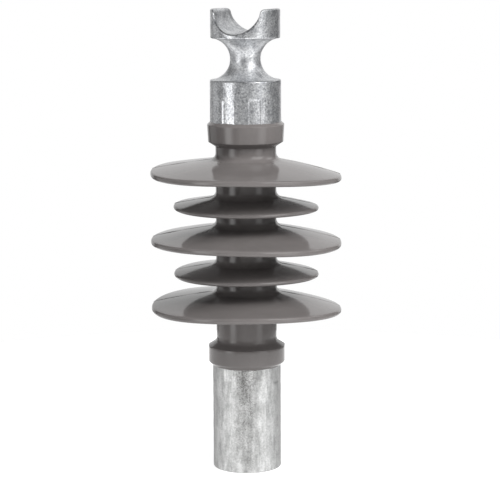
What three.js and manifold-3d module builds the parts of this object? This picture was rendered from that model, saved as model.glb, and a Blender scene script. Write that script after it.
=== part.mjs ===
// Composite pin insulator for a medium-voltage overhead line, in millimetres, +Z up.
// The origin is the centre of the base fitting's lower face, which rests on the pin's shoulder.
// The saddle groove for the conductor runs along Y.
// Six pieces: a fibreglass rod, two steel fittings crimped on its ends, a seal ring at each mouth,
// and one silicone rubber housing moulded over them.

import * as THREE from 'three';
import { mergeVertices } from 'three/addons/utils/BufferGeometryUtils.js';
import Module from 'manifold-3d';

const wasm = await Module();
wasm.setup();

// Round parts and clearances
const SEGMENTS = 40;
const GAP = 0.3;

// Core rod
const ROD_RADIUS = 17;
const ROD_CHAMFER = 1;
const SOCKET_RADIUS = ROD_RADIUS + GAP;

// Base fitting
const BASE_RADIUS = 24.1;
const BASE_HEIGHT = 85;
const BASE_EDGE = 0.8;
const BORE_DEPTH = 50;
const PARTITION = 6;
const BASE_SOCKET_FLOOR = BORE_DEPTH + PARTITION;

// Thread for a 35 mm line pin, four turns to the inch
const THREAD_PITCH = 25.4 / 4;
const THREAD_CREST_RADIUS = 16;
const THREAD_DEPTH = 1.9;
const THREAD_ROWS_PER_TURN = 4;
const THREAD_LOW = 5;
const THREAD_TURNS = 6.5;
const BORE_MOUTH_RADIUS = 18.6;
const BORE_MOUTH_DEPTH = 3;

// Head fitting
const HEAD_BARREL_RADIUS = 24.8;
const HEAD_MOUTH = 235;
const HEAD_SOCKET_TOP = 265.3;
const SHOULDER_HEIGHT = 276;
const SHOULDER_EDGE = 1;
const NECK_RADIUS = 10.65;
const NECK_GROOVE_RADIUS = 14.4;
const NECK_HEIGHT = SHOULDER_HEIGHT + NECK_GROOVE_RADIUS;
const NECK_STEPS = 12;
const DISC_RADIUS = 24.3;
const DISC_EDGE = 1.2;
const TOTAL_HEIGHT = 325;

// Saddle groove
const SADDLE_RADIUS = 17;
const SADDLE_FLARE = 2.5;
const SADDLE_STEPS = 16;
const FLARE_STEPS = 3;

// Crimped zones: eight shallow strips pressed along each barrel, with a wider land between each two
const CRIMP_STRIPS = 8;
const LAND_COLUMNS = [1, 2];
const CRIMP_DEPTH = 0.3;
const CRIMP_RAMP = 0.8;
const BASE_CRIMP = { low: 63.7, high: 83 };
const HEAD_CRIMP = { low: 237.5, high: 260.3 };

// Seal rings, each in a recess at its fitting's mouth
const SEAL_SECTION = 2.8;
const SEAL_SIDES = 8;
const SEAL_RECESS_RADIUS = 20.5;
const SEAL_RECESS_DEPTH = 4.5;

// Housing: collars, sheath and sheds
const SHEATH_RADIUS = 21.25;
const LOWER_COLLAR = { bottom: 74, radius: 27, faceLow: 76.7, faceHigh: 88, top: 91.6 };
const UPPER_COLLAR = {
  bottom: 229.6,
  lowRadius: 26.3,
  faceLow: 232.8,
  highRadius: 27,
  faceHigh: 244.7,
  top: 246.8,
};
const SHED_PITCH = 47.1;
const LOWEST_SHED_RIM = 115.3;
const SMALL_SHED_OFFSET = 24;
const LARGE_SHED = { radius: 67, rim: 3.4 };
const SMALL_SHED = { radius: 51, rim: 3 };
const SHED_TOP_SLOPE = THREE.MathUtils.degToRad(11.5);
const SHED_UNDER_SLOPE = THREE.MathUtils.degToRad(6);
const SHED_FILLET = 5;
const SHED_RIM_ROUND = 1.1;
const FILLET_STEPS = 3;
const EDGE_STEPS = 2;

const MATERIALS = {
  zinc: { color: 0xb9bab8, roughness: 0.42, metalness: 0.9 },
  dullZinc: { color: 0xb2b2b0, roughness: 0.5, metalness: 0.85 },
  silicone: { color: 0x75726f, roughness: 0.35, metalness: 0 },
  fibreglass: { color: 0xc9c2a0, roughness: 0.45, metalness: 0 },
  seal: { color: 0x2b2a29, roughness: 0.6, metalness: 0 },
};

// Points of an arc in the outline plane, x as radius and y as height, with its angles in degrees.
function arc(centreX, centreY, radius, startDegrees, endDegrees, steps) {
  return Array.from({ length: steps + 1 }, (_, i) => {
    const angle = THREE.MathUtils.degToRad(startDegrees + ((endDegrees - startDegrees) * i) / steps);
    return new THREE.Vector2(centreX + radius * Math.cos(angle), centreY + radius * Math.sin(angle));
  });
}

function point(x, y) {
  return new THREE.Vector2(x, y);
}

// The corner between two straight stretches, rounded to the given radius.
function rounded(before, corner, after, radius, steps) {
  const backward = before.clone().sub(corner).normalize();
  const forward = after.clone().sub(corner).normalize();
  const halfAngle = Math.acos(backward.dot(forward)) / 2;
  const tangent = radius / Math.tan(halfAngle);
  const start = corner.clone().addScaledVector(backward, tangent);
  const end = corner.clone().addScaledVector(forward, tangent);
  const towardsCentre = backward.clone().add(forward).normalize();
  const centre = corner.clone().addScaledVector(towardsCentre, radius / Math.sin(halfAngle));
  const startAngle = start.clone().sub(centre).angle();
  let sweep = end.clone().sub(centre).angle() - startAngle;
  if (sweep > Math.PI) sweep -= 2 * Math.PI;
  if (sweep < -Math.PI) sweep += 2 * Math.PI;
  return Array.from({ length: steps + 1 }, (_, i) => {
    const angle = startAngle + (sweep * i) / steps;
    return point(centre.x + radius * Math.cos(angle), centre.y + radius * Math.sin(angle));
  });
}

// Turns an outline about Z. It runs upwards on the outside, so that the faces point out.
function turned(outline) {
  return new THREE.LatheGeometry(outline, SEGMENTS).rotateX(Math.PI / 2);
}

// Moves each vertex in or out by what radialShift(radius, angle, z) says.
function reshape(geometry, radialShift) {
  const position = geometry.attributes.position;
  for (let i = 0; i < position.count; i++) {
    const x = position.getX(i);
    const y = position.getY(i);
    const radius = Math.hypot(x, y);
    const shift = radialShift(radius, Math.atan2(y, x), position.getZ(i));
    if (shift !== 0) {
      position.setX(i, (x * (radius + shift)) / radius);
      position.setY(i, (y * (radius + shift)) / radius);
    }
  }
  return geometry;
}

// A solid for booleans: only positions are kept, shared vertices are merged and empty faces dropped.
function toSolid(geometry) {
  const plain = geometry.clone();
  plain.deleteAttribute('normal');
  plain.deleteAttribute('uv');
  const merged = mergeVertices(plain, 1e-4);
  const faces = merged.index.array;
  const kept = [];
  for (let i = 0; i < faces.length; i += 3) {
    const [a, b, c] = faces.slice(i, i + 3);
    if (a !== b && b !== c && c !== a) kept.push(a, b, c);
  }
  return new wasm.Manifold(
    new wasm.Mesh({
      numProp: 3,
      vertProperties: new Float32Array(merged.attributes.position.array),
      triVerts: new Uint32Array(kept),
    }),
  );
}

function toGeometry(solid) {
  const mesh = solid.getMesh();
  const geometry = new THREE.BufferGeometry();
  geometry.setAttribute('position', new THREE.BufferAttribute(new Float32Array(mesh.vertProperties), 3));
  geometry.setIndex(new THREE.BufferAttribute(new Uint32Array(mesh.triVerts), 1));
  geometry.computeVertexNormals();
  return geometry;
}

function part(name, geometry, finish) {
  const mesh = new THREE.Mesh(geometry, new THREE.MeshStandardMaterial({ ...finish }));
  mesh.name = name;
  return mesh;
}

// Outline of a crimped stretch on a barrel, read upwards: its two middle rows are the pressed ones.
function crimpOutline(radius, zone) {
  return [
    point(radius, zone.low),
    point(radius, zone.low + CRIMP_RAMP),
    point(radius, zone.high - CRIMP_RAMP),
    point(radius, zone.high),
  ];
}

// The press leaves full radius only on the lands.
function crimpShift(barrelRadius, zone) {
  const columnsPerStrip = SEGMENTS / CRIMP_STRIPS;
  return (radius, angle, z) => {
    const inZone = radius > barrelRadius - GAP && z > zone.low + GAP && z < zone.high - GAP;
    const column = Math.round((angle / (2 * Math.PI)) * SEGMENTS) + SEGMENTS;
    return inZone && !LAND_COLUMNS.includes(column % columnsPerStrip) ? -CRIMP_DEPTH : 0;
  };
}

// Helical thread in the bore: the wall moves out by up to the thread's depth, once in every turn.
function threadShift(radius, angle, z) {
  const threadHigh = THREAD_LOW + THREAD_TURNS * THREAD_PITCH;
  const inBore = radius > 0 && Math.abs(radius - THREAD_CREST_RADIUS) < GAP;
  if (!inBore || z <= THREAD_LOW || z >= threadHigh) return 0;
  const phase = 2 * Math.PI * (z / THREAD_PITCH) - angle;
  return (THREAD_DEPTH * (1 + Math.cos(phase))) / 2;
}

function makeCoreRod() {
  const low = BASE_SOCKET_FLOOR + GAP;
  const high = HEAD_SOCKET_TOP - GAP;
  return turned([
    point(0, low),
    point(ROD_RADIUS - ROD_CHAMFER, low),
    point(ROD_RADIUS, low + ROD_CHAMFER),
    point(ROD_RADIUS, high - ROD_CHAMFER),
    point(ROD_RADIUS - ROD_CHAMFER, high),
    point(0, high),
  ]);
}

// Open below for the pin, closed by a partition, open above for the rod.
function makeBaseFitting() {
  const threadRows = Math.round(THREAD_TURNS * THREAD_ROWS_PER_TURN);
  const boreWall = Array.from({ length: threadRows + 1 }, (_, i) =>
    point(THREAD_CREST_RADIUS, THREAD_LOW + (i * THREAD_PITCH) / THREAD_ROWS_PER_TURN),
  ).reverse();
  const outline = [
    point(0, BORE_DEPTH),
    point(THREAD_CREST_RADIUS, BORE_DEPTH),
    ...boreWall,
    point(THREAD_CREST_RADIUS, BORE_MOUTH_DEPTH),
    point(BORE_MOUTH_RADIUS, 0),
    point(BASE_RADIUS - BASE_EDGE, 0),
    point(BASE_RADIUS, BASE_EDGE),
    ...crimpOutline(BASE_RADIUS, BASE_CRIMP),
    point(BASE_RADIUS, BASE_HEIGHT - BASE_EDGE),
    point(BASE_RADIUS - BASE_EDGE, BASE_HEIGHT),
    point(SEAL_RECESS_RADIUS, BASE_HEIGHT),
    point(SEAL_RECESS_RADIUS, BASE_HEIGHT - SEAL_RECESS_DEPTH),
    point(SOCKET_RADIUS, BASE_HEIGHT - SEAL_RECESS_DEPTH),
    point(SOCKET_RADIUS, BASE_SOCKET_FLOOR),
    point(0, BASE_SOCKET_FLOOR),
  ];
  const crimped = reshape(turned(outline), crimpShift(BASE_RADIUS, BASE_CRIMP));
  return reshape(crimped, threadShift);
}

// Barrel, tie-wire neck and saddle disc, before the saddle groove is cut.
function makeHeadBlank() {
  const neck = arc(NECK_RADIUS + NECK_GROOVE_RADIUS, NECK_HEIGHT, NECK_GROOVE_RADIUS, 270, 90, NECK_STEPS);
  const shoulder = rounded(
    point(HEAD_BARREL_RADIUS, HEAD_CRIMP.high),
    point(HEAD_BARREL_RADIUS, SHOULDER_HEIGHT),
    point(0, SHOULDER_HEIGHT),
    SHOULDER_EDGE,
    EDGE_STEPS,
  );
  const outline = [
    point(0, HEAD_SOCKET_TOP),
    point(SOCKET_RADIUS, HEAD_SOCKET_TOP),
    point(SOCKET_RADIUS, HEAD_MOUTH + SEAL_RECESS_DEPTH),
    point(SEAL_RECESS_RADIUS, HEAD_MOUTH + SEAL_RECESS_DEPTH),
    point(SEAL_RECESS_RADIUS, HEAD_MOUTH),
    point(HEAD_BARREL_RADIUS - BASE_EDGE, HEAD_MOUTH),
    point(HEAD_BARREL_RADIUS, HEAD_MOUTH + BASE_EDGE),
    ...crimpOutline(HEAD_BARREL_RADIUS, HEAD_CRIMP),
    ...shoulder.slice(0, -1),
    ...neck.slice(1, -1),
    point(DISC_RADIUS - SHOULDER_EDGE / 2, NECK_HEIGHT + NECK_GROOVE_RADIUS),
    point(DISC_RADIUS, NECK_HEIGHT + NECK_GROOVE_RADIUS + SHOULDER_EDGE / 2),
    point(DISC_RADIUS, TOTAL_HEIGHT - DISC_EDGE),
    point(DISC_RADIUS - DISC_EDGE, TOTAL_HEIGHT),
    point(0, TOTAL_HEIGHT),
  ];
  return reshape(turned(outline), crimpShift(HEAD_BARREL_RADIUS, HEAD_CRIMP));
}

// Cutter for the saddle: a half round on the top face, with a rounded flare at both edges.
function makeSaddleCutter() {
  const flareX = Math.sqrt((SADDLE_RADIUS + SADDLE_FLARE) ** 2 - SADDLE_FLARE ** 2);
  const tangentDegrees = THREE.MathUtils.radToDeg(Math.asin(SADDLE_FLARE / (SADDLE_RADIUS + SADDLE_FLARE)));
  const rim = TOTAL_HEIGHT;
  const flareCentre = rim - SADDLE_FLARE;
  const above = rim + SADDLE_FLARE;
  const left = arc(-flareX, flareCentre, SADDLE_FLARE, 90, tangentDegrees, FLARE_STEPS);
  const floor = arc(0, rim, SADDLE_RADIUS, 180 + tangentDegrees, 360 - tangentDegrees, SADDLE_STEPS);
  const right = left.map((p) => point(-p.x, p.y)).reverse();
  const outline = [
    point(-flareX, above),
    ...left.slice(0, -1),
    ...floor,
    ...right.slice(1),
    point(flareX, above),
  ];
  const depth = 3 * DISC_RADIUS;
  const geometry = new THREE.ExtrudeGeometry(new THREE.Shape(outline), { depth, bevelEnabled: false });
  return geometry.rotateX(Math.PI / 2).translate(0, depth / 2, 0);
}

function makeHeadFitting() {
  return toGeometry(toSolid(makeHeadBlank()).subtract(toSolid(makeSaddleCutter())));
}

function makeSealRing(centreHeight) {
  const centreRadius = SOCKET_RADIUS + SEAL_SECTION / 2;
  return turned(arc(centreRadius, centreHeight, SEAL_SECTION / 2, 0, 360, SEAL_SIDES));
}

// One shed, read downwards from the sheath above it to the sheath below it.
function shedOutline(shed, rimMiddle) {
  const reach = shed.radius - SHEATH_RADIUS;
  const rimTop = point(shed.radius, rimMiddle + shed.rim / 2);
  const rimBottom = point(shed.radius, rimMiddle - shed.rim / 2);
  const rootTop = point(SHEATH_RADIUS, rimTop.y + reach * Math.tan(SHED_TOP_SLOPE));
  const rootBottom = point(SHEATH_RADIUS, rimBottom.y + reach * Math.tan(SHED_UNDER_SLOPE));
  const above = point(SHEATH_RADIUS, rootTop.y + SHED_PITCH);
  const below = point(SHEATH_RADIUS, rootBottom.y - SHED_PITCH);
  return [
    ...rounded(above, rootTop, rimTop, SHED_FILLET, FILLET_STEPS),
    ...rounded(rootTop, rimTop, rimBottom, SHED_RIM_ROUND, EDGE_STEPS),
    ...rounded(rimTop, rimBottom, rootBottom, SHED_RIM_ROUND, EDGE_STEPS),
    ...rounded(rimBottom, rootBottom, below, SHED_FILLET, EDGE_STEPS),
  ];
}

// Three large sheds with a small one between each two, from the lowest rim upwards.
function makeHousing() {
  const sheds = [];
  for (let i = 0; i < 3; i++) {
    const rim = LOWEST_SHED_RIM + i * SHED_PITCH;
    sheds.push(...shedOutline(LARGE_SHED, rim).reverse());
    if (i < 2) sheds.push(...shedOutline(SMALL_SHED, rim + SMALL_SHED_OFFSET).reverse());
  }
  const baseSeat = BASE_RADIUS + GAP;
  const headSeat = HEAD_BARREL_RADIUS + GAP;
  const outline = [
    point(baseSeat, LOWER_COLLAR.bottom),
    point(LOWER_COLLAR.radius, LOWER_COLLAR.faceLow),
    point(LOWER_COLLAR.radius, LOWER_COLLAR.faceHigh),
    point(SHEATH_RADIUS, LOWER_COLLAR.top),
    ...sheds,
    point(SHEATH_RADIUS, UPPER_COLLAR.bottom),
    point(UPPER_COLLAR.lowRadius, UPPER_COLLAR.faceLow),
    point(UPPER_COLLAR.highRadius, UPPER_COLLAR.faceHigh),
    point(headSeat, UPPER_COLLAR.top),
    point(headSeat, HEAD_MOUTH - GAP),
    point(SOCKET_RADIUS, HEAD_MOUTH - GAP),
    point(SOCKET_RADIUS, BASE_HEIGHT + GAP),
    point(baseSeat, BASE_HEIGHT + GAP),
    point(baseSeat, LOWER_COLLAR.bottom),
  ];
  return turned(outline);
}

const insulator = new THREE.Group();
insulator.name = 'pin_insulator';
insulator.add(
  part('base_fitting', makeBaseFitting(), MATERIALS.dullZinc),
  part('base_seal_ring', makeSealRing(BASE_HEIGHT - SEAL_RECESS_DEPTH / 2), MATERIALS.seal),
  part('core_rod', makeCoreRod(), MATERIALS.fibreglass),
  part('housing', makeHousing(), MATERIALS.silicone),
  part('head_seal_ring', makeSealRing(HEAD_MOUTH + SEAL_RECESS_DEPTH / 2), MATERIALS.seal),
  part('head_fitting', makeHeadFitting(), MATERIALS.zinc),
);

export default insulator;
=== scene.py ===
"""Composite pin insulator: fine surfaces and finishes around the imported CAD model.

Blender works in metres here. The named sizes below are in millimetres, as in the CAD model, and MM turns
them into metres. +Z is up, the origin is the centre of the base fitting's lower face, and the saddle groove
runs along Y.
"""

import math

import bpy
import numpy as np
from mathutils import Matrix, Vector


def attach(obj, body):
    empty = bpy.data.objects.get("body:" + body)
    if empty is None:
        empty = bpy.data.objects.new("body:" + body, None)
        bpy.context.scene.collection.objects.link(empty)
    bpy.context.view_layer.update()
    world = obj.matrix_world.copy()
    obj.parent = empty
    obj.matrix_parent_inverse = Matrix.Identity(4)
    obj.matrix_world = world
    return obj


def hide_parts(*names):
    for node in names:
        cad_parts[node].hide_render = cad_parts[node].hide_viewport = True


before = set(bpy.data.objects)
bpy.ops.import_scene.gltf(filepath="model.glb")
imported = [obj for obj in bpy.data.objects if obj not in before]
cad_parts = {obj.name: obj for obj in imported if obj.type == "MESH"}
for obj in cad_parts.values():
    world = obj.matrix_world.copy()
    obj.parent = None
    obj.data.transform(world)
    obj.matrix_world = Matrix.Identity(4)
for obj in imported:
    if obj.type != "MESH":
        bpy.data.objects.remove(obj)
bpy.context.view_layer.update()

MM = 0.001

# Camera: angles in degrees, lens and sensor in millimetres, distances in metres
CAMERA_AZIMUTH = 20.5
CAMERA_PITCH = 8.8
CAMERA_ROLL = -0.28
CAMERA_DISTANCE = 1.376
CAMERA_LENS = 140.4
CAMERA_SENSOR = 36.0
LOOK_AT_HEIGHT = 0.1558
LOOK_AT_SIDE = 0.0026

# Angle from +X of the side that faces the camera; the studio and the marks on the pieces are set out from it
CAMERA_SIDE = CAMERA_AZIMUTH - 90

# Soft boxes and walls of the studio: azimuth from the camera (positive to its right), half width, lowest and
# highest elevation, and half width of the soft borders, all in degrees; then the brightness
STUDIO = {
    "back wall": (180, 34, -10, 42, 6, 0.78),
    "left strip box": (-54, 11, -30, 14, 8, 2.7),
    "left upper panel": (-45, 15, 16, 40, 8, 0.9),
    "left wall": (-116, 18, -30, 4, 7, 0.6),
    "left high wall": (-85, 36, 4, 26, 8, 0.45),
    "front glow": (20, 40, -30, -2, 7, 0.5),
    "table glow": (20, 65, -42, -20, 4, 1.1),
    "front wall": (60, 26, -2, 20, 7, 0.4),
    "right strip": (52, 12, -30, 0, 7, 1.15),
    "right wall": (105, 34, -30, 0, 7, 0.22),
    "key box": (48, 24, 14, 52, 6, 3.0),
    "right panel": (108, 14, 26, 40, 6, 2.2),
}
STUDIO_AMBIENT = 0.07

# Key lamp: azimuth from the camera and elevation in degrees, distance and width in metres, power in watts
KEY_AZIMUTH = 28
KEY_ELEVATION = 49
KEY_DISTANCE = 1.6
KEY_SIZE = 1.1
KEY_WATTS = 31

# Floor, in metres: a hair below the base, so that no two faces lie in one plane. Its glow keeps it white.
FLOOR_HEIGHT = -0.0002
FLOOR_RADIUS = 0.5
FLOOR_TONE = 0.38
FLOOR_GLOW = 0.86

# Base fitting
BASE_RADIUS = 24.1
BASE_HEIGHT = 85.0
BASE_EDGE = 1.0
BORE_DEPTH = 50.0
BORE_MOUTH_RADIUS = 18.6
BORE_MOUTH_DEPTH = 3.0
THREAD_PITCH = 25.4 / 4
THREAD_CREST_RADIUS = 16.0
THREAD_DEPTH = 1.9
THREAD_LOW = 5.0
THREAD_HIGH = THREAD_LOW + 6.5 * THREAD_PITCH
THREAD_RUN_IN = 2.0
THREAD_RUN_OUT = 4.0

# Head fitting
BARREL_RADIUS = 24.8
HEAD_MOUTH = 235.0
HEAD_SOCKET_TOP = 265.3
SHOULDER_HEIGHT = 276.0
NECK_RADIUS = 10.65
NECK_GROOVE_RADIUS = 14.4
NECK_HEIGHT = SHOULDER_HEIGHT + NECK_GROOVE_RADIUS
DISC_RADIUS = 24.3
SADDLE_RADIUS = 17.0
TOTAL_HEIGHT = 325.0
SHOULDER_ROUND = 1.0
GROOVE_ROUND = 1.3
FLARE_ROUND = 2.5
HEAD_NET_CELL = 0.62

# Sockets for the rod, and the recesses for the seals at their mouths
SOCKET_RADIUS = 17.3
SOCKET_FLOOR = 56.0
SEAL_RECESS_RADIUS = 20.5
SEAL_RECESS_DEPTH = 4.5

# Crimps: shallow strips pressed along each barrel, from its mouth to a height of its own. Angles in degrees.
CRIMP_STRIPS = 8
CRIMP_PHASE = -9.7
CRIMP_HALF_WIDTH = 9.5
CRIMP_BORDER = 0.8
CRIMP_DEPTHS = (0.16, 0.34)
CRIMP_RIDGE = 0.07
CRIMP_RIDGE_AWAY = 1.6
CRIMP_RIDGE_WIDTH = 1.2
CRIMP_END_SPREAD = 1.9
CRIMP_END_BORDER = 0.5
BASE_CRIMP_END = 64.5
HEAD_CRIMP_END = 261.5

# Longest stretches that the outlines of the base and the housing are divided into
THREAD_STRETCH = 0.8
BASE_STRETCH = 1.0
SOCKET_STRETCH = 4.0
COLLAR_STRETCH = 1.5
SHED_TOP_STRETCH = 2.5
SHED_UNDER_STRETCH = 3.0
SHEATH_STRETCH = 3.0
SEAT_STRETCH = 12.0

# How near to a radius a point has to be to count as on it
ON_RADIUS = 0.01

# Unevenness of the forged and zinc-dipped surfaces: height and wavelength
HEAD_SIDE_LUMPS = (0.05, 9.0)
HEAD_NECK_LUMPS = (0.05, 11.0)
BASE_LUMPS = (0.06, 12.0)
BASE_PIMPLES = (0.02, 3.0)

# Housing: sheath and collars. Each collar is named by its lip on the metal, by the heights between which it
# has its full width, and by its root on the sheath. The lips end LIP_BITE below the metal's surface.
SHEATH_RADIUS = 21.25
COLLAR_RADIUS = 27.0
LOWER_LIP = 73.6
LOWER_COLLAR = (76.7, 88.0)
LOWER_COLLAR_ROOT = 91.6
LOWER_COLLAR_END = 100.0
UPPER_COLLAR_START = 226.0
UPPER_COLLAR_ROOT = 229.6
UPPER_COLLAR = (232.8, 244.7)
UPPER_COLLAR_LOW_RADIUS = 26.3
UPPER_LIP = 247.1
LIP_BITE = 0.5
LIP_ROUND = 0.7
COLLAR_ROUND = 0.6
COLLAR_FILLET = 3.0
UPPER_COLLAR_FILLET = 1.0
SEAT_GAP = 0.3

# Sheds: rim radius, thickness at the rim, and how far the upper face bulges halfway out
LARGE_SHED = (67.0, 4.0, 0.5)
SMALL_SHED = (51.0, 3.0, 0.15)
SHED_COUNT = 5
SHED_PITCH = 47.1
LOWEST_SHED_RIM = 115.3
SMALL_SHED_OFFSET = 24.0
SHED_TOP_SLOPE = math.radians(11.5)
SHED_UNDER_SLOPE = math.radians(6)
SHED_FILLET = 5.0
SHED_RIM_ROUND = 1.6

# How far each soft shed has sagged at its rim, from the lowest up. The values go with the cosine and sine of
# the angle from the camera's side, of twice that angle and of three times that angle.
SHED_SAG = (
    (0.1, -1.4, 1.2, 1.1, 0.25, -0.15),
    (-0.4, -0.45, 0.35, 0.45, 0.0, 0.0),
    (-0.5, -1.2, 0.75, -0.1, 0.25, -0.15),
    (-0.45, -0.65, 0.05, 0.4, 0.0, 0.0),
    (-0.3, -2.05, 0.62, 0.95, 0.4, -0.15),
)
SAG_POWER = 1.4

# Moulding flash: where the two mould halves met, as angles from the camera's side of the object, and its
# cross-section as offsets along the surface with their heights. Its height varies along it, by a share and a
# wavelength, and grows in the band at each rim.
FLASH_ANGLES = (-98.0, 96.0)
FLASH_OFFSETS = (-0.6, -0.26, -0.12, 0.0, 0.12, 0.26, 0.6)
FLASH_HEIGHTS = (0.0, 0.0, 0.14, 0.18, 0.14, 0.0, 0.0)
FLASH_USUAL_SHARE = 0.8
FLASH_UNEVENNESS = (0.45, 16.0)
FLASH_AT_RIMS = 1.3
RIM_BAND = 1.2

# Raggedness of the collars' lips: height and wavelength
LIP_WAVE = (0.28, 7.0)
LIP_NICKS = (0.16, 2.2)


# ---------------------------------------------------------------- outlines


def rounded(before, corner, after, radius, steps):
    """The corner between two straight stretches, rounded to the given radius."""
    before, corner, after = (np.array(p, float) for p in (before, corner, after))
    back = (before - corner) / np.linalg.norm(before - corner)
    ahead = (after - corner) / np.linalg.norm(after - corner)
    half = math.acos(float(back @ ahead)) / 2
    middle = (back + ahead) / np.linalg.norm(back + ahead)
    centre = corner + middle * radius / math.sin(half)
    start = corner + back * radius / math.tan(half) - centre
    end = corner + ahead * radius / math.tan(half) - centre
    first = math.atan2(start[1], start[0])
    sweep = (math.atan2(end[1], end[0]) - first + math.pi) % (2 * math.pi) - math.pi
    turns = first + sweep * np.arange(steps + 1) / steps
    return [(centre[0] + radius * math.cos(a), centre[1] + radius * math.sin(a)) for a in turns]


def softened(corners, radii, steps=3):
    """A line of corners, each rounded to its radius; a radius of 0 leaves the corner sharp."""
    points = [corners[0]]
    for i in range(1, len(corners) - 1):
        if radii[i] > 0:
            points += rounded(corners[i - 1], corners[i], corners[i + 1], radii[i], steps)
        else:
            points.append(corners[i])
    return points + [corners[-1]]


def divided(points, longest):
    """The same line with its long stretches divided, so that fine shape can be laid over it."""
    result = []
    for (r0, z0), (r1, z1) in zip(points[:-1], points[1:]):
        count = max(1, math.ceil(math.dist((r0, z0), (r1, z1)) / longest))
        result += [(r0 + (r1 - r0) * i / count, z0 + (z1 - z0) * i / count) for i in range(count)]
    return result + [points[-1]]


def waves(points, wavelength, seed, count=24):
    """Smooth seeded noise, mostly from -1 to 1, with about the given wavelength in millimetres."""
    draw = np.random.default_rng(seed)
    directions = draw.normal(size=(count, 3))
    directions /= np.linalg.norm(directions, axis=1)[:, None]
    directions *= draw.uniform(0.6, 1.4, size=(count, 1)) * 2 * math.pi / wavelength
    phases = draw.uniform(0, 2 * math.pi, size=count)
    total = np.zeros(points.shape[:-1])
    for direction, phase in zip(directions, phases):
        total += np.cos(points @ direction + phase)
    return total * math.sqrt(2 / count) / 2


def lumps(points, height_and_wavelength, seed):
    """Seeded noise of the given height and wavelength in millimetres."""
    height, wavelength = height_and_wavelength
    return height * waves(points, wavelength, seed)


def step_between(value, low, high):
    """0 below low, 1 above high, smooth between."""
    t = np.clip((value - low) / (high - low), 0, 1)
    return t * t * (3 - 2 * t)


# ---------------------------------------------------------------- meshes


def make_object(name, points, faces, material, sharp_degrees=40):
    """A mesh object from points in millimetres."""
    mesh = bpy.data.meshes.new(name)
    mesh.from_pydata((np.asarray(points) * MM).tolist(), [], faces)
    mesh.update()
    mesh.shade_smooth()
    mesh.set_sharp_from_angle(angle=math.radians(sharp_degrees))
    mesh.materials.append(material)
    piece = bpy.data.objects.new(name, mesh)
    bpy.context.scene.collection.objects.link(piece)
    return piece


def turned_points(outline, angles):
    """Points of a turned surface, one row for each outline point; angles has a row for each one too."""
    radius = np.array([p[0] for p in outline])[:, None]
    height = np.array([p[1] for p in outline])[:, None]
    return np.stack([radius * np.cos(angles), radius * np.sin(angles), height + 0 * angles], axis=-1)


def ring_faces(rows, columns, closed):
    """Quads of a turned grid. A closed outline joins its last row to its first."""
    lower_rows = np.arange(rows if closed else rows - 1)
    row, column = np.meshgrid(lower_rows, np.arange(columns), indexing="ij")
    above = (row + 1) % rows
    beside = (column + 1) % columns
    corners = ((row, column), (row, beside), (above, beside), (above, column))
    return np.stack([r * columns + c for r, c in corners], axis=-1).reshape(-1, 4).tolist()


def outline_normals(outline):
    """Outward unit normals of a closed outline that runs upwards on the outside."""
    points = np.array(outline)
    along = np.roll(points, -1, axis=0) - np.roll(points, 1, axis=0)
    along /= np.linalg.norm(along, axis=1)[:, None] + 1e-12
    return np.stack([along[:, 1], -along[:, 0]], axis=1)


def surface_net(field, low, high, cell, smoothings=3):
    """Points and quads of the closed surface where field(points) is zero; it is negative inside."""
    low = np.array(low, float)
    counts = np.ceil((np.array(high) - low) / cell).astype(int) + 1
    axes = [low[i] + cell * np.arange(counts[i]) for i in range(3)]
    inside = field(np.stack(np.meshgrid(*axes, indexing="ij"), axis=-1)) < 0
    corners = np.zeros(counts - 1, np.uint8)
    for dx in (0, 1):
        for dy in (0, 1):
            for dz in (0, 1):
                ends = (counts - 1) + (dx, dy, dz)
                corners += inside[dx : ends[0], dy : ends[1], dz : ends[2]]
    active = (corners > 0) & (corners < 8)
    ids = np.full(active.shape, -1)
    ids[active] = np.arange(active.sum())
    points = low + (np.argwhere(active) + 0.5) * cell
    quads = []
    for axis in range(3):
        first, second = (axis + 1) % 3, (axis + 2) % 3
        near = inside.take(range(counts[axis] - 1), axis)
        far = inside.take(range(1, counts[axis]), axis)
        for outward in (True, False):
            edges = np.argwhere((near & ~far) if outward else (far & ~near))
            ring = []
            for a, b in ((-1, -1), (0, -1), (0, 0), (-1, 0)):
                shifted = edges.copy()
                shifted[:, first] += a
                shifted[:, second] += b
                ring.append(ids[tuple(shifted.T)])
            quads.append(np.stack(ring if outward else ring[::-1], axis=1))
    quads = np.concatenate(quads)
    for _ in range(smoothings):
        points = settled(field, relaxed(points, quads), cell)
    return points, quads


def relaxed(points, quads):
    """Each point moved to the middle of its quads, which evens the net out."""
    middles = points[quads].mean(axis=1)
    total = np.zeros_like(points)
    weight = np.zeros(len(points))
    for i in range(4):
        np.add.at(total, quads[:, i], middles)
        np.add.at(weight, quads[:, i], 1)
    return total / weight[:, None]


def settled(field, points, cell, rounds=3, probe=0.02, least_slope=0.25):
    """Points moved along the field's slope on to its zero surface."""
    for _ in range(rounds):
        value = field(points)
        slope = np.zeros_like(points)
        for i, step in enumerate(probe * np.eye(3)):
            slope[:, i] = (field(points + step) - field(points - step)) / (2 * probe)
        move = -value / np.maximum((slope**2).sum(axis=1), least_slope)
        points = points + np.clip(move, -cell, cell)[:, None] * slope
    return points


def meet_round(a, b, radius):
    """The part inside both solids a and b, with the edge between them rounded."""
    corner = np.hypot(np.maximum(a + radius, 0), np.maximum(b + radius, 0))
    return np.minimum(-radius, np.maximum(a, b)) + corner


# ---------------------------------------------------------------- fittings


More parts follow.
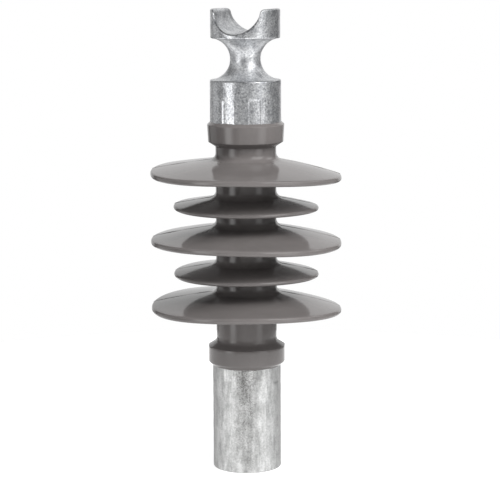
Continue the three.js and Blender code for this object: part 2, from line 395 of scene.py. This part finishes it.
def crimp_depth(angle, height, end, mouth_above, seed):
    """How far a press has pushed the barrel in. Each strip has its own depth and its own end."""
    draw = np.random.default_rng(seed)
    depths = draw.uniform(*CRIMP_DEPTHS, CRIMP_STRIPS)
    spread = draw.uniform(-CRIMP_END_SPREAD, CRIMP_END_SPREAD, CRIMP_STRIPS)
    pitch = 360 / CRIMP_STRIPS
    turn = (np.degrees(angle) - CRIMP_PHASE + pitch / 2) % 360
    strip = (turn // pitch).astype(int) % CRIMP_STRIPS
    across = np.abs(turn % pitch - pitch / 2)
    width = 1 - step_between(across, CRIMP_HALF_WIDTH - CRIMP_BORDER, CRIMP_HALF_WIDTH + CRIMP_BORDER)
    ridge = np.exp(-(((across - CRIMP_HALF_WIDTH - CRIMP_RIDGE_AWAY) / CRIMP_RIDGE_WIDTH) ** 2))
    own_end = end + spread[strip]
    length = step_between(height, own_end - CRIMP_END_BORDER, own_end + CRIMP_END_BORDER)
    if not mouth_above:
        length = 1 - length
    return (depths[strip] * width - CRIMP_RIDGE * ridge) * length


def head_field(points):
    """Distance-like field of the head fitting: negative inside the metal."""
    x, y, z = points[..., 0], points[..., 1], points[..., 2]
    radius = np.hypot(x, y)
    pressed = crimp_depth(np.arctan2(y, x), z, HEAD_CRIMP_END, mouth_above=False, seed=3)
    outer = np.where(z < NECK_HEIGHT, BARREL_RADIUS - pressed, DISC_RADIUS)
    side = radius - outer - lumps(points, HEAD_SIDE_LUMPS, seed=5)
    neck = NECK_GROOVE_RADIUS - np.hypot(radius - NECK_RADIUS - NECK_GROOVE_RADIUS, z - NECK_HEIGHT)
    neck = neck + lumps(points, HEAD_NECK_LUMPS, seed=6)
    saddle = SADDLE_RADIUS - np.hypot(x, np.minimum(z - TOTAL_HEIGHT, 0))
    ears = meet_round(z - TOTAL_HEIGHT, saddle, FLARE_ROUND)
    solid = meet_round(meet_round(side, neck, SHOULDER_ROUND), ears, GROOVE_ROUND)
    socket = np.minimum(SOCKET_RADIUS - radius, HEAD_SOCKET_TOP - z)
    recess = np.minimum(SEAL_RECESS_RADIUS - radius, HEAD_MOUTH + SEAL_RECESS_DEPTH - z)
    return np.maximum.reduce([solid, socket, recess, HEAD_MOUTH - z])


def make_head_fitting(material):
    """Forged head: barrel, tie-wire neck and saddle disc in one net of quads."""
    margin = 2
    reach = BARREL_RADIUS + margin
    low = (-reach, -reach, HEAD_MOUTH - margin)
    high = (reach, reach, TOTAL_HEIGHT + margin)
    points, quads = surface_net(head_field, low, high, HEAD_NET_CELL)
    return make_object("head_fitting_forged", points, quads.tolist(), material)


def base_outline():
    """Outline of the base from the end of the bore, round the outside, to the floor of the rod's socket."""
    bore = [
        (THREAD_CREST_RADIUS, BORE_DEPTH),
        (THREAD_CREST_RADIUS, THREAD_HIGH),
        (THREAD_CREST_RADIUS, THREAD_LOW),
        (THREAD_CREST_RADIUS, BORE_MOUTH_DEPTH),
        (BORE_MOUTH_RADIUS, 0.0),
    ]
    outside = softened(
        [
            (BORE_MOUTH_RADIUS, 0.0),
            (BASE_RADIUS, 0.0),
            (BASE_RADIUS, BASE_HEIGHT),
            (SEAL_RECESS_RADIUS, BASE_HEIGHT),
        ],
        [0, BASE_EDGE, BASE_EDGE, 0],
        steps=4,
    )
    inside = [
        (SEAL_RECESS_RADIUS, BASE_HEIGHT),
        (SEAL_RECESS_RADIUS, BASE_HEIGHT - SEAL_RECESS_DEPTH),
        (SOCKET_RADIUS, BASE_HEIGHT - SEAL_RECESS_DEPTH),
        (SOCKET_RADIUS, SOCKET_FLOOR),
    ]
    threaded = divided(bore, THREAD_STRETCH)[:-1]
    return threaded + divided(outside, BASE_STRETCH)[:-1] + divided(inside, SOCKET_STRETCH)


def thread_growth(radius, height, angles):
    """How far the thread's grooves are cut outwards from the bore, fading in and out at its ends."""
    in_bore = np.abs(radius - THREAD_CREST_RADIUS) < ON_RADIUS
    in_thread = in_bore & (height < THREAD_HIGH + ON_RADIUS)
    run_in = step_between(height, THREAD_LOW, THREAD_LOW + THREAD_RUN_IN)
    run_out = 1 - step_between(height, THREAD_HIGH - THREAD_RUN_OUT, THREAD_HIGH)
    phase = 2 * math.pi * height / THREAD_PITCH - angles
    return np.where(in_thread, THREAD_DEPTH * (run_in * run_out) * (1 + np.cos(phase)) / 2, 0)


def make_base_fitting(material, columns=224):
    """Base: crimped tube with the pin thread in its bore, a partition, and the rod's socket above."""
    outline = base_outline()
    angles = np.broadcast_to(np.arange(columns) * 2 * math.pi / columns, (len(outline), columns))
    points = turned_points(outline, angles)
    height = points[..., 2]
    radius = np.hypot(points[..., 0], points[..., 1])

    on_outside = np.abs(radius - BASE_RADIUS) < ON_RADIUS
    pressed = crimp_depth(angles, height, BASE_CRIMP_END, mouth_above=True, seed=8)
    uneven = lumps(points, BASE_LUMPS, seed=9) + lumps(points, BASE_PIMPLES, seed=10)
    shift = thread_growth(radius, height, angles) + np.where(on_outside, uneven - pressed, 0)
    points[..., :2] *= (1 + shift / radius)[..., None]

    # the partition's two faces close the bore and the socket
    faces = ring_faces(len(outline), columns, closed=False)
    flat = points.reshape(-1, 3).tolist()
    bore_end, socket_end = len(flat), len(flat) + 1
    flat += [(0, 0, BORE_DEPTH), (0, 0, SOCKET_FLOOR)]
    last_row = (len(outline) - 1) * columns
    for i in range(columns):
        beside = (i + 1) % columns
        faces.append((bore_end, beside, i))
        faces.append((socket_end, last_row + i, last_row + beside))
    return make_object("base_fitting_forged", flat, faces, material)


# ---------------------------------------------------------------- housing


def shed_outline(shed, rim_middle):
    """One shed, read downwards from the sheath above it to the sheath below it."""
    outer, thickness, crown = shed
    reach = outer - SHEATH_RADIUS
    rim_top = (outer, rim_middle + thickness / 2)
    rim_bottom = (outer, rim_middle - thickness / 2)
    root_top = (SHEATH_RADIUS, rim_top[1] + reach * math.tan(SHED_TOP_SLOPE))
    root_bottom = (SHEATH_RADIUS, rim_bottom[1] + reach * math.tan(SHED_UNDER_SLOPE))
    above = (SHEATH_RADIUS, root_top[1] + SHED_PITCH)
    below = (SHEATH_RADIUS, root_bottom[1] - SHED_PITCH)
    root_curve = rounded(above, root_top, rim_top, SHED_FILLET, 8)
    rim_curve = rounded(root_top, rim_top, rim_bottom, SHED_RIM_ROUND, 5)
    under_rim = rounded(rim_top, rim_bottom, root_bottom, SHED_RIM_ROUND, 5)
    under_root = rounded(rim_bottom, root_bottom, below, SHED_FILLET, 6)

    # the upper face is a parabola over the straight line from fillet to rim
    straight = divided([root_curve[-1], rim_curve[0]], SHED_TOP_STRETCH)[1:-1]
    start, end = root_curve[-1][0], rim_curve[0][0]
    top = [(r, z + crown * 4 * (r - start) * (end - r) / (end - start) ** 2) for r, z in straight]
    under = divided([under_rim[-1], under_root[0]], SHED_UNDER_STRETCH)[1:-1]
    return root_curve + top + rim_curve + under_rim + under + under_root


def lower_collar_outline():
    """The collar on the base fitting, read upwards."""
    corners = [
        (BASE_RADIUS - LIP_BITE, LOWER_LIP),
        (COLLAR_RADIUS, LOWER_COLLAR[0]),
        (COLLAR_RADIUS, LOWER_COLLAR[1]),
        (SHEATH_RADIUS, LOWER_COLLAR_ROOT),
        (SHEATH_RADIUS, LOWER_COLLAR_END),
    ]
    return softened(corners, [0, LIP_ROUND, COLLAR_ROUND, COLLAR_FILLET, 0])


def upper_collar_outline():
    """The collar on the head fitting, read upwards."""
    corners = [
        (SHEATH_RADIUS, UPPER_COLLAR_START),
        (SHEATH_RADIUS, UPPER_COLLAR_ROOT),
        (UPPER_COLLAR_LOW_RADIUS, UPPER_COLLAR[0]),
        (COLLAR_RADIUS, UPPER_COLLAR[1]),
        (BARREL_RADIUS - LIP_BITE, UPPER_LIP),
    ]
    return softened(corners, [0, UPPER_COLLAR_FILLET, COLLAR_ROUND, COLLAR_ROUND, 0])


def housing_outline():
    """Closed outline of the housing, the count of its outer points, and each point's shed number or -1."""
    upper = upper_collar_outline()
    points = divided(lower_collar_outline(), COLLAR_STRETCH)
    numbers = [-1] * len(points)
    for i in range(SHED_COUNT):
        rim = LOWEST_SHED_RIM + (i // 2) * SHED_PITCH + (i % 2) * SMALL_SHED_OFFSET
        shed = shed_outline(SMALL_SHED if i % 2 else LARGE_SHED, rim)[::-1]
        stretch = divided([points[-1], shed[0]], SHEATH_STRETCH)[1:-1]
        points += stretch + shed
        numbers += [-1] * len(stretch) + [i] * len(shed)
    stretch = divided([points[-1], upper[0]], SHEATH_STRETCH)[1:-1]
    top = divided(upper, COLLAR_STRETCH)
    points += stretch + top
    numbers += [-1] * (len(stretch) + len(top))
    outer_count = len(points)
    seat = [
        (BARREL_RADIUS - LIP_BITE, HEAD_MOUTH - SEAT_GAP),
        (SOCKET_RADIUS, HEAD_MOUTH - SEAT_GAP),
        (SOCKET_RADIUS, BASE_HEIGHT + SEAT_GAP),
        (BASE_RADIUS - LIP_BITE, BASE_HEIGHT + SEAT_GAP),
    ]
    points += divided(seat, SEAT_STRETCH)
    numbers += [-1] * (len(points) - outer_count)
    return points, outer_count, np.array(numbers)


def housing_angles(outline, columns_between=104):
    """Angles of the grid's columns in each row: a narrow band along each flash line, even between them."""
    first, second = (math.radians(CAMERA_SIDE) + math.radians(a) for a in FLASH_ANGLES)
    edges = ((first, second), (second, first + 2 * math.pi))
    rows = []
    for radius, _ in outline:
        band = np.array(FLASH_OFFSETS) / radius
        row = []
        for start, end in edges:
            between = np.linspace(start + band[-1], end + band[0], columns_between + 2)[1:-1]
            row.append(np.concatenate([start + band, between]))
        rows.append(np.concatenate(row))
    return np.array(rows), columns_between + len(FLASH_OFFSETS)


def flash_heights(points, radius, rim_radius, shed_number, columns_apart):
    """How far the moulding flash stands out at each point: uneven, and a little prouder at the rims."""
    ridge = np.zeros(points.shape[1])
    for start in (0, columns_apart):
        ridge[start : start + len(FLASH_HEIGHTS)] = FLASH_HEIGHTS
    at_rim = (shed_number[:, None] >= 0) & (radius > rim_radius - RIM_BAND)
    uneven = FLASH_USUAL_SHARE + lumps(points, FLASH_UNEVENNESS, seed=20)
    return ridge[None, :] * uneven * np.where(at_rim, FLASH_AT_RIMS, 1.0)


def make_housing(material):
    """Silicone moulding: collars, sheath and sheds, with the flash line left by the mould."""
    outline, outer_count, shed_number = housing_outline()
    angles, columns_apart = housing_angles(outline)
    points = turned_points(outline, angles)
    radius = np.array([p[0] for p in outline])[:, None]
    rim_radius = np.where(shed_number % 2 == 1, SMALL_SHED[0], LARGE_SHED[0])[:, None]

    is_outer = (np.arange(len(outline)) < outer_count)[:, None]
    raised = is_outer * flash_heights(points, radius, rim_radius, shed_number, columns_apart)
    normals = outline_normals(outline)
    points[..., 0] += raised * normals[:, :1] * np.cos(angles)
    points[..., 1] += raised * normals[:, :1] * np.sin(angles)
    points[..., 2] += raised * normals[:, 1:]

    # each shed hangs a little unevenly, more towards its rim
    for number, sag in enumerate(SHED_SAG):
        rows = shed_number == number
        share = np.clip((radius[rows] - SHEATH_RADIUS) / (rim_radius[rows] - SHEATH_RADIUS), 0, 1)
        turn = angles[rows] - math.radians(CAMERA_SIDE)
        parts = [wave(count * turn) for count in (1, 2, 3) for wave in (np.cos, np.sin)]
        points[rows, :, 2] += share**SAG_POWER * sum(size * part for size, part in zip(sag, parts))

    # the lips on the metal are a little ragged
    flat_points = points.copy()
    flat_points[..., 2] = 0
    ragged = lumps(flat_points, LIP_WAVE, seed=21) + lumps(flat_points, LIP_NICKS, seed=22)
    for row in (0, outer_count - 1):
        points[row, :, 2] += ragged[row]

    faces = ring_faces(len(outline), angles.shape[1], closed=True)
    return make_object("housing_moulded", points.reshape(-1, 3), faces, material, sharp_degrees=50)


# ---------------------------------------------------------------- materials


ZINC_FLECK = (0.16, 0.17, 0.185, 1)
DROSS = (0.13, 0.125, 0.12, 1)
# dark grey of the painted shade laid on the base's sides where they are seen edge on
BASE_EDGE_PAINTED_SHADE = (0.2, 0.2, 0.2, 1)
SILICONE_TONES = ((0.129, 0.119, 0.1165, 1), (0.147, 0.1355, 0.1325, 1))
FIBREGLASS_TONES = ((0.5, 0.46, 0.3, 1), (0.66, 0.62, 0.44, 1))
SEAL_TONES = ((0.018, 0.018, 0.018, 1), (0.035, 0.034, 0.033, 1))


class Nodes:
    """A node tree with short calls to add nodes, link them and set their values."""

    def __init__(self, tree):
        self.tree = tree

    def feed(self, socket, value):
        """Link an output to the socket, or set a plain value on it."""
        if isinstance(value, bpy.types.NodeSocket):
            self.tree.links.new(value, socket)
        else:
            socket.default_value = value

    def add(self, kind, inputs=None, **settings):
        node = self.tree.nodes.new(kind)
        for key, value in settings.items():
            setattr(node, key, value)
        for key, value in (inputs or {}).items():
            self.feed(node.inputs[key], value)
        return node

    def math(self, operation, *values):
        return self.add("ShaderNodeMath", dict(enumerate(values)), operation=operation).outputs[0]


class Finish(Nodes):
    """A node material whose textures are placed on the object."""

    def __init__(self, name):
        self.material = bpy.data.materials.new(name)
        self.material.use_nodes = True
        super().__init__(self.material.node_tree)
        self.shader = self.tree.nodes["Principled BSDF"]
        self.place = self.add("ShaderNodeTexCoord").outputs["Object"]

    def stretched(self, scale):
        node = self.add("ShaderNodeMapping", {"Vector": self.place, "Scale": scale})
        return node.outputs["Vector"]

    def noise(self, size_mm, detail=4.0, rough=0.55, vector=None, distortion=0.0):
        """Noise from 0 to 1 whose largest features are about size_mm across."""
        inputs = {
            "Vector": vector or self.place,
            "Scale": 1 / (size_mm * MM),
            "Detail": detail,
            "Roughness": rough,
            "Distortion": distortion,
        }
        return self.add("ShaderNodeTexNoise", inputs).outputs["Fac"]

    def ramp(self, value, low, high, to_low=0.0, to_high=1.0):
        """The value's stretch from low to high, spread over to_low to to_high."""
        inputs = {"Value": value, "From Min": low, "From Max": high, "To Min": to_low, "To Max": to_high}
        return self.add("ShaderNodeMapRange", inputs, clamp=True).outputs["Result"]

    def blend(self, factor, low, high):
        """A mix of two colours. A colour mix has its factor and colours on inputs 0, 6 and 7."""
        return self.add("ShaderNodeMix", {0: factor, 6: low, 7: high}, data_type="RGBA").outputs[2]

    def bump(self, height, depth_mm, under=None, strength=1.0):
        inputs = {"Height": height, "Distance": depth_mm * MM, "Strength": strength}
        if under is not None:
            inputs["Normal"] = under
        return self.add("ShaderNodeBump", inputs).outputs["Normal"]

    def set(self, **inputs):
        """Set or link inputs of the shader; an underscore in a name stands for a space."""
        for key, value in inputs.items():
            self.feed(self.shader.inputs[key.replace("_", " ")], value)


def zinc_finish(name, *, bright, dark, roughness, streak, grain_tone, grain_depth, worn_radius):
    """Hot-dip zinc: mottled tone, small grains that break the reflections, and streaks along the tube.

    Inside worn_radius the coat is duller and its grain is faint.
    """
    finish = Finish(name)
    blotch_tone = 0.4
    blotch = finish.noise(8.0, detail=3.0, distortion=0.6)
    grain = finish.noise(1.3, detail=2.0, rough=0.6)
    along = finish.noise(3.2, detail=4.0, vector=finish.stretched((1.0, 1.0, 0.16)))
    tone = finish.math("MULTIPLY", blotch, blotch_tone)
    tone = finish.math("ADD", tone, finish.math("MULTIPLY", grain, grain_tone))
    tone = finish.math("ADD", tone, finish.math("MULTIPLY", along, streak))
    middle = 0.5 * blotch_tone + 0.5 * (grain_tone + streak)
    contrast = 0.15
    colour = finish.blend(finish.ramp(tone, middle - contrast, middle + contrast), dark, bright)

    # 0 on the worn zone round the axis, 1 outside it
    flat = finish.add("ShaderNodeVectorMath", {0: finish.place, 1: (1, 1, 0)}, operation="MULTIPLY")
    radius = finish.add("ShaderNodeVectorMath", {0: flat.outputs[0]}, operation="LENGTH").outputs["Value"]
    fresh = finish.ramp(radius, 0.75 * worn_radius * MM, worn_radius * MM)

    flecks = finish.ramp(finish.noise(1.1, detail=1.0), 0.45, 0.36, 0.0, 0.6 * grain_tone)
    flecks = finish.math("MULTIPLY", flecks, fresh)
    colour = finish.blend(flecks, colour, ZINC_FLECK)
    uneven = finish.ramp(finish.noise(1.6, detail=2.0), 0.3, 0.7, *roughness)
    uneven = finish.math("ADD", uneven, finish.ramp(fresh, 0.0, 1.0, 0.07, 0.0))
    strength = finish.ramp(fresh, 0.0, 1.0, 0.35, 1.0)
    normal = finish.bump(grain, grain_depth, strength=strength)
    normal = finish.bump(finish.noise(3.4, detail=2.0), 0.6 * grain_depth, under=normal, strength=strength)
    metallic = finish.ramp(fresh, 0.0, 1.0, 0.8, 0.94)
    finish.set(Base_Color=colour, Metallic=metallic, Roughness=uneven, Normal=normal)
    return finish


def dross_streak(finish, angle, half_width, fade_height):
    """A dull streak of zinc dross up the tube: worm-like marks that thin out sideways and downwards."""
    split = finish.add("ShaderNodeSeparateXYZ", {0: finish.place})
    turn = finish.math("DEGREES", finish.math("ARCTAN2", split.outputs["Y"], split.outputs["X"]))
    wander_width = 24.0
    wander = finish.math("MULTIPLY", finish.noise(18.0, detail=3.0), wander_width)
    away = finish.math("SUBTRACT", finish.math("ADD", turn, wander), angle + wander_width / 2)
    away = finish.math("WRAP", away, 180.0, -180.0)
    near = finish.ramp(finish.math("ABSOLUTE", away), half_width, 0.3 * half_width)
    upwards = finish.ramp(split.outputs["Z"], 0.0, fade_height * MM, 0.25, 1.0)
    near = finish.math("MULTIPLY", near, upwards)
    worms = finish.noise(3.2, detail=1.5, distortion=1.5)
    worms = finish.math("ABSOLUTE", finish.math("SUBTRACT", worms, 0.5))
    lines = finish.ramp(worms, 0.08, 0.025)
    faint = finish.math("MULTIPLY", near, 0.3)
    marks = finish.math("MULTIPLY", finish.math("MULTIPLY", near, lines), 0.95)
    return finish.math("MAXIMUM", marks, faint)


def head_finish():
    """Bright zinc with clear grains, worn dull on the neck and in the saddle."""
    finish = zinc_finish(
        "zinc_bright",
        bright=(0.85, 0.86, 0.87, 1),
        dark=(0.34, 0.35, 0.37, 1),
        roughness=(0.27, 0.39),
        streak=0.1,
        grain_tone=0.7,
        grain_depth=0.12,
        worn_radius=DISC_RADIUS,
    )
    return finish.material


def base_finish():
    """Duller, streaky zinc with a streak of dross at the camera's side, and painted shade where it is seen
    edge on.
    """
    finish = zinc_finish(
        "zinc_dull",
        bright=(0.74, 0.744, 0.74, 1),
        dark=(0.36, 0.362, 0.358, 1),
        roughness=(0.34, 0.48),
        streak=0.7,
        grain_tone=0.3,
        grain_depth=0.05,
        worn_radius=0.1,
    )
    dross = dross_streak(finish, angle=CAMERA_SIDE - 2, half_width=26.0, fade_height=BASE_HEIGHT)
    clean = finish.shader.inputs["Base Color"].links[0].from_socket
    stained = finish.blend(dross, clean, DROSS)
    # painted shade: the colour darkens towards the sides seen edge on, standing in for dimmer reflections
    # there
    edge_on = finish.add("ShaderNodeLayerWeight", {"Blend": 0.5}).outputs["Facing"]
    shade = finish.ramp(edge_on, 0.15, 0.8, 0.0, 0.8)
    finish.set(Base_Color=finish.blend(shade, stained, BASE_EDGE_PAINTED_SHADE))
    return finish.material


def silicone_finish():
    """Moulded silicone rubber: warm grey, smooth, with faint clouding."""
    finish = Finish("silicone_rubber")
    cloud = finish.noise(22.0, detail=4.0)
    fine = finish.noise(1.4, detail=2.0)
    colour = finish.blend(finish.ramp(cloud, 0.3, 0.7), *SILICONE_TONES)
    uneven = finish.ramp(finish.noise(9.0, detail=5.0), 0.3, 0.75, 0.09, 0.15)
    normal = finish.bump(fine, 0.004)
    finish.set(Base_Color=colour, Roughness=uneven, Normal=normal, IOR=1.45)
    return finish.material


def fibreglass_finish():
    """Pultruded rod: resin over glass strands that run lengthwise."""
    finish = Finish("fibreglass_rod")
    strands = finish.noise(0.8, detail=3.0, vector=finish.stretched((1.0, 1.0, 0.02)))
    colour = finish.blend(strands, *FIBREGLASS_TONES)
    uneven = finish.ramp(strands, 0.3, 0.7, 0.32, 0.5)
    finish.set(Base_Color=colour, Roughness=uneven, Normal=finish.bump(strands, 0.03))
    return finish.material


def seal_finish():
    """Black seal rubber."""
    finish = Finish("seal_rubber")
    grain = finish.noise(0.5, detail=2.0)
    colour = finish.blend(grain, *SEAL_TONES)
    uneven = finish.ramp(grain, 0.3, 0.7, 0.5, 0.65)
    finish.set(Base_Color=colour, Roughness=uneven, Normal=finish.bump(grain, 0.02))
    return finish.material


# ---------------------------------------------------------------- studio


def outwards(azimuth, elevation):
    """Unit vector from the object at angles in degrees; azimuth is 0 towards -Y and grows towards +X."""
    azimuth, elevation = math.radians(azimuth), math.radians(elevation)
    across = math.cos(elevation)
    return Vector((math.sin(azimuth) * across, -math.cos(azimuth) * across, math.sin(elevation)))


def make_camera():
    """Camera at the azimuth, pitch and distance above, slightly rolled."""
    azimuth = math.radians(CAMERA_AZIMUTH)
    back = outwards(CAMERA_AZIMUTH, CAMERA_PITCH)
    right = Vector((math.cos(azimuth), math.sin(azimuth), 0))
    target = Vector((0, 0, LOOK_AT_HEIGHT)) + right * LOOK_AT_SIDE
    data = bpy.data.cameras.new("camera")
    data.sensor_width = CAMERA_SENSOR
    data.lens = CAMERA_LENS
    data.clip_start, data.clip_end = 0.05, 50
    camera = bpy.data.objects.new("camera", data)
    bpy.context.scene.collection.objects.link(camera)
    camera.location = target + back * CAMERA_DISTANCE
    camera.rotation_euler = (-back).to_track_quat("-Z", "Y").to_euler()
    camera.rotation_euler.rotate_axis("Z", math.radians(CAMERA_ROLL))
    bpy.context.scene.camera = camera


def make_floor(steps=96):
    """A round white table top."""
    turns = np.linspace(0, 2 * math.pi, steps, endpoint=False)
    rim = [(FLOOR_RADIUS * math.cos(a), FLOOR_RADIUS * math.sin(a), FLOOR_HEIGHT) for a in turns]
    mesh = bpy.data.meshes.new("floor")
    mesh.from_pydata(rim, [], [tuple(range(steps))])
    finish = Finish("floor_white")
    finish.set(Base_Color=(FLOOR_TONE, FLOOR_TONE, FLOOR_TONE, 1), Roughness=0.7)
    finish.set(Emission_Color=(1, 1, 1, 1), Emission_Strength=FLOOR_GLOW)
    mesh.materials.append(finish.material)
    floor = bpy.data.objects.new("floor", mesh)
    bpy.context.scene.collection.objects.link(floor)


def make_key_light():
    """A large soft lamp, above the camera, that shades matte surfaces and makes no highlight of its own."""
    towards = outwards(CAMERA_AZIMUTH + KEY_AZIMUTH, KEY_ELEVATION)
    data = bpy.data.lights.new("key_light", "AREA")
    data.shape = "DISK"
    data.size = KEY_SIZE
    data.energy = KEY_WATTS
    lamp = bpy.data.objects.new("key_light", data)
    bpy.context.scene.collection.objects.link(lamp)
    lamp.location = Vector((0, 0, LOOK_AT_HEIGHT)) + towards * KEY_DISTANCE
    lamp.rotation_euler = towards.to_track_quat("Z", "Y").to_euler()
    lamp.visible_glossy = False


def window(nodes, value, low, high, soft):
    """1 between low and high, 0 outside, with soft borders."""
    sides = []
    for outside, inside in ((low - soft, low + soft), (high + soft, high - soft)):
        inputs = {"Value": value, "From Min": outside, "From Max": inside}
        side = nodes.add("ShaderNodeMapRange", inputs, interpolation_type="SMOOTHSTEP")
        sides.append(side.outputs["Result"])
    return nodes.math("MULTIPLY", *sides)


def make_world():
    """White backdrop for the camera; for light and reflections, the soft boxes and walls of STUDIO."""
    world = bpy.data.worlds.new("studio")
    bpy.context.scene.world = world
    world.use_nodes = True
    world.node_tree.nodes.clear()
    nodes = Nodes(world.node_tree)

    direction = nodes.add("ShaderNodeTexCoord").outputs["Generated"]
    split = nodes.add("ShaderNodeSeparateXYZ", {0: direction})
    turn = nodes.math("DEGREES", nodes.math("ARCTAN2", split.outputs["Y"], split.outputs["X"]))
    height = nodes.math("DEGREES", nodes.math("ARCSINE", split.outputs["Z"]))
    total = STUDIO_AMBIENT
    for centre, half_width, low, high, soft, level in STUDIO.values():
        away = nodes.math("WRAP", nodes.math("SUBTRACT", turn, CAMERA_SIDE + centre), 180.0, -180.0)
        across = window(nodes, away, -half_width, half_width, soft)
        upright = window(nodes, height, low, high, soft)
        patch = nodes.math("MULTIPLY", nodes.math("MULTIPLY", across, upright), level)
        total = nodes.math("ADD", total, patch)
    lit = nodes.add("ShaderNodeBackground", {"Color": (1, 1, 1, 1), "Strength": total}).outputs[0]
    seen = nodes.add("ShaderNodeBackground", {"Color": (1, 1, 1, 1), "Strength": 1.0}).outputs[0]
    from_camera = nodes.add("ShaderNodeLightPath").outputs["Is Camera Ray"]
    choice = nodes.add("ShaderNodeMixShader", {0: from_camera, 1: lit, 2: seen})
    nodes.add("ShaderNodeOutputWorld", {"Surface": choice.outputs[0]})


# ---------------------------------------------------------------- assembly

make_camera()
make_floor()
make_key_light()
make_world()
bpy.context.scene.view_settings.view_transform = "Standard"

pieces = [
    (make_head_fitting(head_finish()), "head_fitting", "head_zinc"),
    (make_base_fitting(base_finish()), "base_fitting", "base_zinc"),
    (make_housing(silicone_finish()), "housing", "silicone"),
]
for piece, node, slot in pieces:
    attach(piece, "root")
    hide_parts(node)

hidden_finishes = {
    "core_rod": fibreglass_finish(),
    "head_seal_ring": seal_finish(),
    "base_seal_ring": seal_finish(),
}
for node, material in hidden_finishes.items():
    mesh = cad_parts[node].data
    mesh.materials.clear()
    mesh.materials.append(material)
